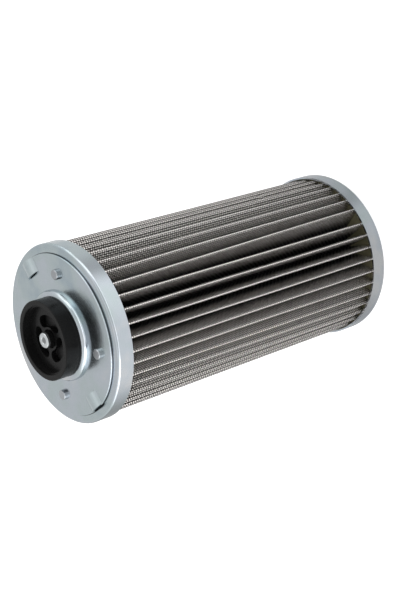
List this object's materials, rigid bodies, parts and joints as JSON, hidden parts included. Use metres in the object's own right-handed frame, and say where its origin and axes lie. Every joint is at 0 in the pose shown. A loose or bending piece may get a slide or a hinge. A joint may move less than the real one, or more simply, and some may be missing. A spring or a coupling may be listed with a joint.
{
  "type": "hydraulic filter element",
  "caption": "Pleated wire-mesh hydraulic filter element with zinc end caps, a black moulded bypass valve in one cap and a sealed outlet in the other.",
  "frame": {"origin": "middle of the outlet end cap's outer face, where the element stands", "axes": "+Z along the filter's axis, from the outlet cap to the bypass valve; +X at the side that faces the camera"},
  "size_m": [0.096, 0.096, 0.2062],
  "materials": {
    "zinc_sheet": "bright zinc plate, satin",
    "woven_steel": "woven stainless wire",
    "tube_steel": "perforated zinc-plated steel",
    "medium": "fine stainless wire cloth",
    "resin": "cast olive resin",
    "black_nylon": "moulded, satin",
    "black_rubber": "nitrile rubber",
    "plated_steel": "zinc-plated steel",
    "spring_steel": "spring wire"
  },
  "bodies": {
    "element": {"rear_cap": "zinc_sheet", "front_cap": "zinc_sheet", "rear_potting": "resin", "front_potting": "resin", "outer_mesh": "woven_steel", "filter_media": "medium", "inner_mesh": "woven_steel", "seam_clip": "tube_steel", "support_tube": "tube_steel", "outlet_seal": "black_rubber", "cover_plate": "zinc_sheet", "cover_rivets": "plated_steel", "valve_gasket": "black_rubber", "valve_body": "black_nylon", "valve_stem": "plated_steel", "valve_spring": "spring_steel", "spring_retainer": "tube_steel", "stem_clip": "spring_steel"},
    "bypass_disc": {"valve_disc": "plated_steel", "valve_seal": "black_rubber"}
  },
  "joints": [
    {"name": "bypass_lift", "type": "slide", "parent": "element", "child": "bypass_disc", "axis": [0, 0, -1], "range_m": [0, 0.005], "stiffness_N_per_m": 1500, "springref_m": -0.008, "deforming": ["valve_spring"]}
  ]
}
